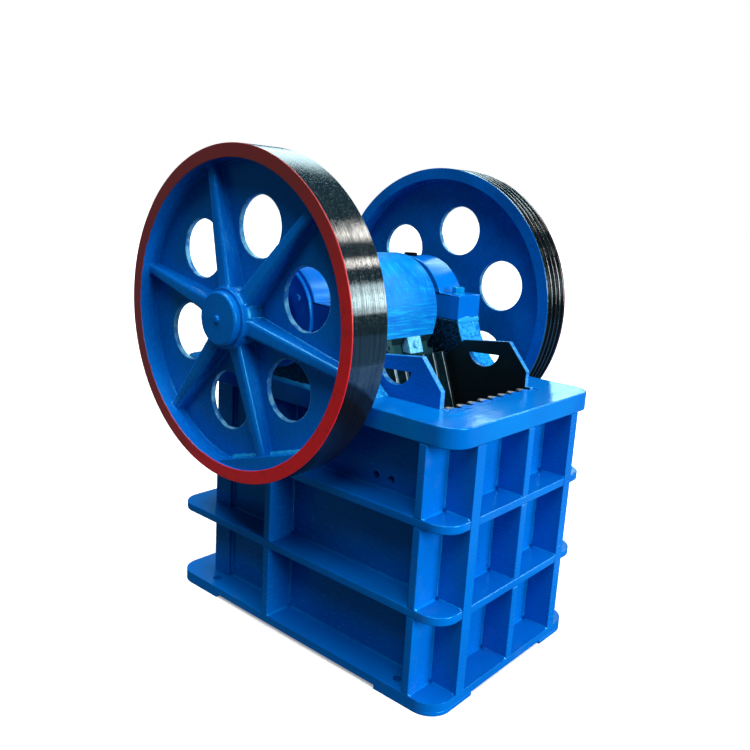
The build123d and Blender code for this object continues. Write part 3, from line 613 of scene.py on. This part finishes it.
def arm_edges_group(name, web):
    """Node group that says how much to round each edge of a wheel whose web lies at x = web.

    The ridges of its arms get the whole width, the hollows between hub and rim about a quarter of it and all other
    ridges a fifth.
    """
    group, start, end = geometry_group(name)

    def calc(operation, *values):
        return add_node(group, "ShaderNodeMath", dict(enumerate(values)), operation=operation).outputs[0]

    place = add_node(group, "ShaderNodeSeparateXYZ", {0: group.nodes.new("GeometryNodeInputPosition").outputs[0]})
    x, y, z = place.outputs
    over, up = calc("SUBTRACT", y, shaft.y), calc("SUBTRACT", z, shaft.z)
    radius = calc("SQRT", calc("ADD", calc("MULTIPLY", over, over), calc("MULTIPLY", up, up)))
    bend = group.nodes.new("GeometryNodeInputMeshEdgeAngle").outputs["Signed Angle"]
    off_hub = calc("GREATER_THAN", radius, HUB_RADIUS + RADIUS_MARGIN)
    between = calc("MULTIPLY", off_hub, calc("LESS_THAN", radius, rim_inside + RADIUS_MARGIN))
    within = calc("MULTIPLY", off_hub, calc("LESS_THAN", radius, rim_inside - RADIUS_MARGIN))
    proud = calc("GREATER_THAN", calc("ABSOLUTE", calc("SUBTRACT", x, web)), WEB_HALF + WEB_MARGIN)
    hollow = calc("MULTIPLY", calc("LESS_THAN", bend, HOLLOW_BEND), between)
    ridge = calc("GREATER_THAN", bend, RIDGE_BEND)
    arm = calc("MULTIPLY", ridge, calc("MULTIPLY", within, proud))
    share = calc("ADD", calc("MULTIPLY", hollow, HOLLOW_SHARE), calc("MULTIPLY", ridge, RIDGE_SHARE))
    share = calc("ADD", share, calc("MULTIPLY", arm, 1 - RIDGE_SHARE))
    inputs = {"Geometry": start, "Name": "bevel_weight_edge", "Value": share}
    store = add_node(group, "GeometryNodeStoreNamedAttribute", inputs, domain="EDGE", data_type="FLOAT")
    group.links.new(store.outputs[0], end)
    return group


def round_edges(width, *names, segments=2, shares=None):
    """Round the edges of CAD nodes by width, with flat faces kept flat. shares is a group that weighs the edges."""
    for name in names:
        modifiers = nodes[name].modifiers
        modifiers.new("join", "NODES").node_group = join_facets
        flatten = modifiers.new("flatten", "DECIMATE")
        flatten.decimate_type = "DISSOLVE"
        flatten.angle_limit = FLAT_ANGLE
        if shares is not None:
            modifiers.new("shares", "NODES").node_group = shares
        edges = modifiers.new("edges", "BEVEL")
        edges.limit_method = "ANGLE" if shares is None else "WEIGHT"
        edges.use_clamp_overlap = shares is None
        edges.angle_limit = ROUNDED_ANGLE
        edges.width = width
        edges.segments = segments
        modifiers.new("shading", "WEIGHTED_NORMAL").keep_sharp = False


round_edges(0.003, "base_plate", "lower_ring", "upper_ring", "foot_pads", "rear_wall")
round_edges(0.004, "top_plate", segments=3)
round_edges(0.0025, "front_wall", "front_centre_ribs", "rear_ribs", "toggle_block", "jaw_ledge", "jaw_clamps",
            *FLANK_PIECES)
round_edges(0.002, *both_sides("cheek_plate"))
round_edges(0.004, *both_sides("bearing_base", "bearing_cap", "bearing_cover"), segments=3)
for wheel, near, far, width in (("flywheel", FLYWHEEL_FRONT, FLYWHEEL_BACK, 0.011),
                                ("pulley", PULLEY_NEAR, PULLEY_FAR, 0.0095)):
    round_edges(width, wheel, segments=4, shares=arm_edges_group(f"{wheel}_edges", (near + far) / 2))
round_edges(0.002, "flywheel_cap", "pulley_cap", "flywheel_weight", "pulley_weight")
round_edges(0.004, "swing_jaw", segments=3)
round_edges(0.0015, "fixed_jaw_plate", "moving_jaw_plate")


# Welds

BEAD_STEP = 0.003
BEAD_COLUMNS = 7
BEAD_BULGE = 0.16
FLAT_BEAD_HEIGHT = 0.55
WAVE_LENGTHS = (0.03, 0.16)
WAVES = 4
RIPPLE_PITCH = 0.011
RIPPLE_BOW = 0.35
RIPPLE_HEIGHT = 0.07


def weld_bead(start, end, side_a, side_b, leg, seed, flat=False, lumps=0.1):
    """Weld run along a straight line from start to end.

    Each section goes from side_a to side_b: round a corner it is a flat fillet with a slight bulge, and flat on one
    face it is half an ellipse. The leg swells with a few slow waves, and with a ripple whose crests bow back in the
    middle of the bead. It tapers to nothing at both ends, and the last point of a section is the line itself.
    """
    chance = np.random.default_rng(seed)
    start, end = np.asarray(start, float), np.asarray(end, float)
    length = np.linalg.norm(end - start)
    rows = max(10, int(length / BEAD_STEP))
    share = np.linspace(0, 1, rows)[:, None]
    run = share * length
    wave_lengths = chance.uniform(*WAVE_LENGTHS, WAVES)
    wander = np.sin(2 * pi * (run / wave_lengths + chance.uniform(0, 1, WAVES))).mean(axis=1, keepdims=True)
    angle = np.linspace(0, pi if flat else pi / 2, BEAD_COLUMNS)[None, :]
    bow = np.sin(angle) if flat else np.sin(2 * angle)
    reach = np.ones_like(angle) if flat else 1 / (np.cos(angle) + np.sin(angle)) + BEAD_BULGE * bow
    ripple = np.sin(2 * pi * (run / RIPPLE_PITCH - RIPPLE_BOW * bow + chance.uniform()))
    taper = np.sqrt(np.clip(np.minimum(run, length - run) / leg, 0, 1))
    size = leg * taper * (1 + lumps * 2 * wander) * (1 + RIPPLE_HEIGHT * ripple * bow) * reach
    height = FLAT_BEAD_HEIGHT if flat else 1.0
    line = start + share * (end - start)
    points = (line[:, None, :] + (size * np.cos(angle))[:, :, None] * np.asarray(side_a, float)
              + (height * size * np.sin(angle))[:, :, None] * np.asarray(side_b, float))
    grid = np.concatenate([points, line[:, None, :]], axis=1)
    return grid.reshape(-1, 3), grid_quads(rows, BEAD_COLUMNS + 1, wrap_columns=True)


def cell_welds(back, along, out, width, low, high, sides, depth, leg, seed):
    """Beads in one cell of the frame: round its back wall and along the foot and head of its side ribs.

    back is the corner of the back wall, along its direction, out the way out of the cell, and sides says which of
    its two ends has a rib.
    """
    start = np.array((back[0], back[1], 0.0))
    ends = (start, start + width * along)
    beads = []
    for level, upward in ((low, UP), (high, -UP)):
        lift = level * UP
        beads.append((ends[0] + lift + leg * along, ends[1] + lift - leg * along, out, upward))
        for end, inward, has_rib in zip(ends, (along, -along), sides):
            if has_rib:
                beads.append((end + lift + leg * out, end + lift + depth * out, inward, upward))
    for end, inward, has_rib in zip(ends, (along, -along), sides):
        if has_rib:
            beads.append((end + (low + leg) * UP, end + (high - leg) * UP, out, inward))
    return [weld_bead(*bead, leg, seed + number) for number, bead in enumerate(beads)]


FRAME_LEG = 0.005
REAR_RIB_THICKNESS = 0.024
half_width = edge_of("base_plate", HIGH, 0)
half_length = edge_of("base_plate", HIGH, 1)
wall_inner = edge_of("right_side_wall", LOW, 0)
wall_outer = edge_of("right_side_wall", HIGH, 0)
front_face = edge_of("front_wall", LOW, 1)
front_rib_back = edge_of("left_front_ribs", HIGH, 1)
middle_rib_front = edge_of("left_middle_ribs", LOW, 1)
middle_rib_back = edge_of("left_middle_ribs", HIGH, 1)
centre_rib_side = edge_of("front_centre_ribs", HIGH, 0)
rear_wall_front = edge_of("rear_wall", LOW, 1)
rear_face = edge_of("rear_wall", HIGH, 1)
rear_wall_end = edge_of("rear_wall", HIGH, 0)
rear_rib_outer = edge_of("rear_ribs", HIGH, 0)
rear_rib_inner = rear_rib_outer - REAR_RIB_THICKNESS
levels = ("base_plate", "lower_ring", "upper_ring", "top_plate")
bays = [(edge_of(under, HIGH, 2), edge_of(over, LOW, 2)) for under, over in zip(levels, levels[1:])]


def frame_welds():
    """Weld runs in every cell of the frame, one piece for each side of the machine."""
    front, rear, flank = [], [], {-1: [], 1: []}
    front_depth = half_length + front_face
    rear_depth = half_length - rear_face
    flank_depth = half_width - wall_outer
    for number, (low, high) in enumerate(bays):
        seed = 1000 * (number + 1)
        for side in (-1, 1):
            back = (min(side * wall_inner, side * centre_rib_side), front_face)
            front += cell_welds(back, ALONG_X, -ALONG_Y, wall_inner - centre_rib_side, low, high, (True, True),
                                front_depth, FRAME_LEG, seed + 20 * side)
            runs = ((-half_length, front_face, (False, True)), (front_rib_back, middle_rib_front, (True, True)),
                    (middle_rib_back, rear_wall_front, (True, False)))
            for place, (near, far, ribs) in enumerate(runs):
                flank[side] += cell_welds((side * wall_outer, near), ALONG_Y, side * ALONG_X, far - near, low, high,
                                          ribs, flank_depth, FRAME_LEG, seed + 40 * side + 100 * place + 300)
            flank[side].append(weld_bead((side * wall_outer, rear_wall_front, low + FRAME_LEG),
                                         (side * wall_outer, rear_wall_front, high - FRAME_LEG),
                                         side * ALONG_X, -ALONG_Y, FRAME_LEG, seed + 700 + side))
        cells = ((-rear_wall_end, -rear_rib_outer, (False, True)), (-rear_rib_inner, rear_rib_inner, (True, True)),
                 (rear_rib_outer, rear_wall_end, (True, False)))
        for place, (near, far, ribs) in enumerate(cells):
            rear += cell_welds((near, rear_face), ALONG_X, ALONG_Y, far - near, low, high, ribs, rear_depth,
                               FRAME_LEG, seed + 800 + 20 * place)
    for name, beads in (("front_welds", front), ("rear_welds", rear), ("left_side_welds", flank[-1]),
                        ("right_side_welds", flank[1])):
        make_piece(name, beads, "frame", weld_blue)


# Bolts

def nut(centre, axis, across_flats, height, turn=0.3):
    """Hexagon nut with its corners turned off at both ends: a turned profile drawn in to six flats."""
    corner = across_flats / 1.732
    chamfer = 0.11 * height
    profile = [(0, 0), (0.97 * across_flats / 2, 0), (corner, chamfer), (corner, height - chamfer),
               (0.97 * across_flats / 2, height), (0, height)]
    return turned(centre, axis, profile, hexagon(across_flats, turn))


def washer(centre, axis, radius, height):
    """Round washer with softened edges."""
    soft = 0.25 * height
    profile = [(0, 0), (radius, 0), (radius, height - soft), (radius - soft, height), (0, height)]
    return turned(centre, axis, profile)


def threaded_end(centre, axis, radius, length, pitch):
    """Threaded rod end: the radius falls and rises once in each pitch.

    It is radius - pitch / 2 * |2 * ((height / pitch - a / 2 pi) mod 1) - 1| for the angle a round the rod, and the
    last bit is rounded off.
    """
    columns, rows = 24, max(12, int(5 * length / pitch))
    angle = np.linspace(0, 2 * pi, columns, endpoint=False)[None, :]
    height = np.linspace(0, length, rows)[:, None]
    groove = np.abs((height / pitch - angle / (2 * pi)) % 1 - 0.5) * 2
    rounded = np.clip((length - height) / (0.12 * radius), 0, 1) ** 0.5
    reach = (radius - 0.5 * pitch * groove) * (0.82 + 0.18 * rounded)
    reach[[0, -1]] = 0
    height = height + 0 * angle
    height[-1] = length
    first, second = across(axis)
    ring = np.cos(angle)[..., None] * first + np.sin(angle)[..., None] * second
    points = np.asarray(centre) + height[..., None] * np.asarray(axis, float) + reach[..., None] * ring
    return points.reshape(-1, 3), grid_quads(rows, columns, wrap_columns=True)


EAR_HEIGHT = 0.080
EAR_BOLT_INSET = 0.037
EAR_BOLT_OUT = 0.042
EAR_NUT = 0.036
EAR_NUT_HEIGHT = 0.02
EAR_WASHER_RADIUS = 0.023
EAR_WASHER_HEIGHT = 0.004
SEAT_DEPTH = 0.0005
COVER_BOLTS = 6
COVER_BOLT_CIRCLE = 0.116
COVER_BOLT_FLATS = 0.018
COVER_BOLT_HEIGHT = 0.008
ear_top = edge_of("right_bearing_cap", LOW, 2) + EAR_HEIGHT
ear_front = edge_of("right_bearing_cap", LOW, 1)
ear_rear = edge_of("right_bearing_cap", HIGH, 1)
bearing_inner = edge_of("right_bearing_cap", LOW, 0)


def bearing_bolts():
    """A bolt head and washer on each bearing ear, and a ring of bolt heads on each bearing cover."""
    for name, side in SIDES.items():
        nuts = []
        for place in (ear_front + EAR_BOLT_INSET, ear_rear - EAR_BOLT_INSET):
            seat = np.array((side * (bearing_inner + EAR_BOLT_OUT), place, ear_top - SEAT_DEPTH))
            nuts.append(washer(seat, UP, EAR_WASHER_RADIUS, EAR_WASHER_HEIGHT))
            nuts.append(nut(seat + (EAR_WASHER_HEIGHT - SEAT_DEPTH) * UP, UP, EAR_NUT, EAR_NUT_HEIGHT))
        cover = edge_of(f"{name}_bearing_cover", LOW if side < 0 else HIGH, 0) - SEAT_DEPTH * side
        for number in range(COVER_BOLTS):
            angle = (number + 0.5) * 2 * pi / COVER_BOLTS
            seat = (cover, shaft.y + COVER_BOLT_CIRCLE * cos(angle), shaft.z + COVER_BOLT_CIRCLE * sin(angle))
            nuts.append(nut(seat, side * ALONG_X, COVER_BOLT_FLATS, COVER_BOLT_HEIGHT, turn=angle))
        make_piece(f"{name}_bearing_nuts", nuts, "frame", bolt_blue)


EAR_WELD_LEG = 0.010
SECOND_RUN_LEG = 0.009
SECOND_RUN_DROP = 0.016
SECOND_RUN_INNER_INSET = 0.012
SECOND_RUN_OUTER_INSET = 0.02
FOOT_WELD_LEG = 0.009
FOOT_WELD_INSET = 0.02


def bearing_welds():
    """Two lumpy runs under each bearing ear, and one along the outer side of each bearing foot."""
    ear_low = edge_of("right_bearing_base", HIGH, 2)
    foot = edge_of("right_bearing_base", LOW, 2)
    foot_front = edge_of("right_bearing_base", LOW, 1)
    foot_rear = edge_of("right_bearing_base", HIGH, 1)
    inner = edge_of("right_bearing_base", LOW, 0)
    outer = edge_of("right_bearing_base", HIGH, 0)
    for name, side in SIDES.items():
        beads = []
        for face, out, seed in ((ear_front, -ALONG_Y, 5), (ear_rear, ALONG_Y, 9)):
            beads.append(weld_bead((side * inner, face, ear_low), (side * outer, face, ear_low), UP, out,
                                   EAR_WELD_LEG, seed + side, flat=True, lumps=0.28))
            second = ear_low - SECOND_RUN_DROP
            beads.append(weld_bead((side * (inner + SECOND_RUN_INNER_INSET), face, second),
                                   (side * (outer - SECOND_RUN_OUTER_INSET), face, second), UP, out,
                                   SECOND_RUN_LEG, seed + 30 + side, flat=True, lumps=0.35))
        beads.append(weld_bead((side * outer, foot_front + FOOT_WELD_INSET, foot),
                               (side * outer, foot_rear - FOOT_WELD_INSET, foot),
                               side * ALONG_X, UP, FOOT_WELD_LEG, 17 + side))
        make_piece(f"{name}_bearing_welds", beads, "frame", weld_highlight_blue)


# Wheels, jaw and spring

WEIGHT_ANGLE = radians(252.5)
WEIGHT_DEPTH = 0.034
WEIGHT_WELD_LEG = 0.007
WEIGHT_WELD_INSET = 0.006
weight_chord = rim_inside - WEIGHT_DEPTH


def weight_welds():
    """A run along the straight edge of each balance weight, where it meets the web."""
    toward = np.array((0, cos(WEIGHT_ANGLE), sin(WEIGHT_ANGLE)))
    along = np.array((0, -sin(WEIGHT_ANGLE), cos(WEIGHT_ANGLE)))
    half_chord = (rim_inside ** 2 - weight_chord ** 2) ** 0.5 - WEIGHT_WELD_INSET
    for name, side in (("flywheel", -1), ("pulley", 1)):
        web = edge_of(f"{name}_weight", HIGH if side < 0 else LOW, 0)
        middle = np.array((web, shaft.y, shaft.z)) + weight_chord * toward
        bead = weld_bead(middle - half_chord * along, middle + half_chord * along, side * ALONG_X, -toward,
                         WEIGHT_WELD_LEG, 41 + side, lumps=0.2)
        make_piece(f"{name}_weight_welds", [bead], "rotor", weld_highlight_blue)


BARREL_RADIUS = 0.178
BARREL_SEAM_RISE = 0.035
BARREL_SEAM_HEIGHT = 0.0025
BARREL_SEAM_SINK = 0.0006
BARREL_SEAM_INSET = 0.047


def barrel_seam():
    """Low casting seam along the front of the barrel, where its round top meets the straight nose."""
    front = eccentric.y - (BARREL_RADIUS ** 2 - BARREL_SEAM_RISE ** 2) ** 0.5 + BARREL_SEAM_SINK
    reach = bearing_inner - BARREL_SEAM_INSET
    level = eccentric.z + BARREL_SEAM_RISE
    seam = weld_bead((-reach, front, level), (reach, front, level), UP, -ALONG_Y,
                     BARREL_SEAM_HEIGHT, 71, flat=True, lumps=0.25)
    make_piece("barrel_seam", [seam], "swing_jaw", barrel_blue)


CLAMP_SPACING = 0.140
CLAMP_HEAD = [(0, -0.001), (0.0125, -0.001), (0.0125, 0.006), (0.0105, 0.0085), (0.0068, 0.0085), (0.0055, 0.005),
              (0, 0.005)]


def clamp_bolts():
    """A round bolt head with a dished middle on each jaw clamp, square to the clamp's leaning face."""
    low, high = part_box("jaw_clamps")
    out = np.array((0.0, -1.0, JAW_LEAN))
    out /= np.linalg.norm(out)
    middle = np.array((0.0, low.y + JAW_LEAN * (high.z - low.z) / 2, (low.z + high.z) / 2))
    heads = [turned(middle + side * CLAMP_SPACING / 2 * ALONG_X, out, CLAMP_HEAD) for side in (-1, 1)]
    # The left head takes the clamp finish's painted shade, black.
    make_piece("clamp_bolts", heads, "swing_jaw", clamp_blue)


SPRING_TURNS = 6.5
SPRING_WIRE = 0.0058
SPRING_POINTS = 420
SPRING_END_TURNS = 1.1
SPRING_END_PITCH = 0.35


def coil_spring():
    """Compression spring: a helix whose pitch falls to a share of itself over the end turns."""
    low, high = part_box("tension_spring")
    coil_radius = (high.x - low.x) / 2 - SPRING_WIRE
    middle_z = (low.z + high.z) / 2
    turn = np.linspace(0, SPRING_TURNS, SPRING_POINTS)
    open_share = np.clip(np.minimum(turn, SPRING_TURNS - turn) / SPRING_END_TURNS, 0, 1)
    open_share = SPRING_END_PITCH + (1 - SPRING_END_PITCH) * open_share
    climb = np.concatenate([[0], np.cumsum((open_share[1:] + open_share[:-1]) / 2)])
    along = low.y + SPRING_WIRE + climb / climb[-1] * (high.y - low.y - 2 * SPRING_WIRE)
    angle = 2 * pi * turn
    path = np.stack([coil_radius * np.cos(angle), along, middle_z + coil_radius * np.sin(angle)], axis=1)
    spring = make_piece("spring_coil", [tube(path, SPRING_WIRE)], "frame", rod_steel)
    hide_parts("tension_spring")


THREAD_RADIUS = 0.0148
THREAD_PITCH = 0.003
THREAD_IN_NUT = 0.002
THREAD_END_INSET = 0.0005


def rod_thread():
    """Thread on the tail of the tension rod, beyond its nut."""
    low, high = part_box("tension_rod")
    start = edge_of("tension_nut", HIGH, 1) - THREAD_IN_NUT
    centre = ((low.x + high.x) / 2, start, (low.z + high.z) / 2)
    thread = threaded_end(centre, ALONG_Y, THREAD_RADIUS, high.y - THREAD_END_INSET - start, THREAD_PITCH)
    make_piece("rod_thread", [thread], "frame", rod_steel)


frame_welds()
bearing_bolts()
bearing_welds()
weight_welds()
barrel_seam()
clamp_bolts()
coil_spring()
rod_thread()


# Camera, floor and light

CAMERA_PLACE = Vector((-1.8249, -1.5329, 1.2847))
CAMERA_YAW = radians(40.42)
CAMERA_PITCH = radians(-12.39)
CAMERA_ROLL = radians(3.49)
CAMERA_LENS = 37.66
SENSOR_WIDTH = 36
MIDDLE = Vector((0.0, 0.0, 0.9))
LAMP_DISTANCE = 12.0
COOL = (0.72, 0.95, 1.0)
WARM = (1.0, 0.97, 0.9)
PALE_CYAN = (0.5, 0.9, 1.0)
GROUND = (0.18, 0.48, 1.0)


def add_camera():
    """Camera at the viewing angle, from its yaw, pitch and roll."""
    ahead = Vector((cos(CAMERA_PITCH) * cos(CAMERA_YAW), cos(CAMERA_PITCH) * sin(CAMERA_YAW), sin(CAMERA_PITCH)))
    right = ahead.cross(Vector(UP)).normalized()
    upward = right.cross(ahead)
    right, upward = (cos(CAMERA_ROLL) * right + sin(CAMERA_ROLL) * upward,
                     cos(CAMERA_ROLL) * upward - sin(CAMERA_ROLL) * right)
    lens = bpy.data.cameras.new("camera")
    lens.lens = CAMERA_LENS
    lens.sensor_width = SENSOR_WIDTH
    camera = bpy.data.objects.new("camera", lens)
    turn = Matrix((right, upward, -ahead)).transposed()
    camera.matrix_world = Matrix.Translation(CAMERA_PLACE) @ turn.to_4x4()
    bpy.context.scene.collection.objects.link(camera)
    bpy.context.scene.camera = camera


def add_floor(reach=60.0):
    """Pale floor: a flat grid at ground level."""
    finish = Finish("pale_floor")
    tone = finish.noise(1.5, detail=2)
    finish.set(Base_Color=finish.mix(tone, rgb(240, 240, 240), rgb(247, 247, 247)), Roughness=0.75,
               Emission_Color=WHITE, Emission_Strength=0.3)
    span = np.linspace(-reach, reach, 3)
    x, y = np.meshgrid(span, span, indexing="ij")
    points = np.stack([x, y, np.zeros_like(x)], axis=-1).reshape(-1, 3)
    mesh = bpy.data.meshes.new("floor")
    mesh.from_pydata(points.tolist(), [], grid_quads(3, 3)[:, ::-1].tolist())
    mesh.materials.append(finish.material)
    floor = bpy.data.objects.new("floor", mesh)
    floor.visible_diffuse = False
    floor.visible_glossy = False
    bpy.context.scene.collection.objects.link(floor)


def oblong_lamp(name, width, depth, glow, colour):
    """Soft oblong lamp that the camera doesn't see, as bright per area as its glow; returns the object."""
    lamp = bpy.data.lights.new(name, "AREA")
    lamp.shape = "RECTANGLE"
    lamp.size = width
    lamp.size_y = depth
    lamp.energy = pi * glow * width * depth
    lamp.color = colour
    holder = bpy.data.objects.new(name, lamp)
    holder.visible_camera = False
    bpy.context.scene.collection.objects.link(holder)
    return holder


def add_window(name, azimuth, height, width, tall, glow, colour):
    """Lamp on a round wall about the machine, as angles in degrees seen from its middle, facing it."""
    turn, rise = radians(azimuth), radians(height)
    toward = Vector((cos(rise) * cos(turn), cos(rise) * sin(turn), sin(rise)))
    holder = oblong_lamp(name, LAMP_DISTANCE * radians(width), LAMP_DISTANCE * radians(tall), glow, colour)
    holder.location = MIDDLE + LAMP_DISTANCE * toward
    holder.rotation_euler = (-toward).to_track_quat("-Z", "Y").to_euler()


def add_ground_glow(place, width, depth, glow):
    """Sunlit ground beside the machine: a wide lamp that lies on the floor and faces up."""
    holder = oblong_lamp("ground_glow", width, depth, glow, GROUND)
    holder.location = place
    holder.rotation_euler = (pi, 0, 0)


def add_sun(name, place, spread, strength):
    """Even light from far away in the direction of a place, softened by its spread in degrees."""
    lamp = bpy.data.lights.new(name, "SUN")
    lamp.angle = radians(spread)
    lamp.energy = strength
    holder = bpy.data.objects.new(name, lamp)
    holder.rotation_euler = Vector(place).to_track_quat("Z", "Y").to_euler()
    bpy.context.scene.collection.objects.link(holder)


def add_sky(ambient, mirrored, backdrop):
    """White surroundings: bright where they are seen directly, dim as a light and dim blue in reflections."""
    world = bpy.data.worlds.new("studio")
    world.use_nodes = True
    tree = world.node_tree
    dim = tree.nodes["Background"]
    dim.inputs["Color"].default_value = (0.86, 0.94, 1.0, 1)
    dim.inputs["Strength"].default_value = ambient
    dark = add_node(tree, "ShaderNodeBackground", {"Color": (0.1, 0.65, 1, 1), "Strength": mirrored})
    white = add_node(tree, "ShaderNodeBackground", {"Color": WHITE, "Strength": backdrop})
    ray = add_node(tree, "ShaderNodeLightPath").outputs
    shown = dim
    for way, other in (("Is Glossy Ray", dark), ("Is Camera Ray", white)):
        shown = add_node(tree, "ShaderNodeMixShader", {0: ray[way], 1: shown.outputs[0], 2: other.outputs[0]})
    tree.links.new(shown.outputs[0], tree.nodes["World Output"].inputs[0])
    bpy.context.scene.world = world


add_camera()
add_floor()
add_sun("front_key", (0.05, -1.0, 0.3), 33, 4.5)
add_sun("left_sky", (-0.9, -0.8, 2.0), 30, 1.7)
add_sun("overhead", (-0.3, 0.6, 2.4), 30, 2.4)
add_window("right_door", -39, 11, 13, 14, 8, COOL)
add_window("right_gate", -39, 10, 13, 6, 6, COOL)
add_window("right_strip", -35, 27.5, 8, 3.4, 15, WARM)
add_window("high_window", -18, 37.5, 14, 5, 14, WARM)
add_window("middle_window", 9, 32, 22, 4, 9, COOL)
add_window("back_window", 38, 28, 26, 22, 3, COOL)
add_window("back_low_window", 27, 13, 11, 4, 9, PALE_CYAN)
add_ground_glow((3.4, -3.4, 0.01), 5.6, 5.6, 0.42)
add_sky(ambient=0.08, mirrored=0.2, backdrop=1.0)
bpy.context.scene.view_settings.view_transform = "Standard"
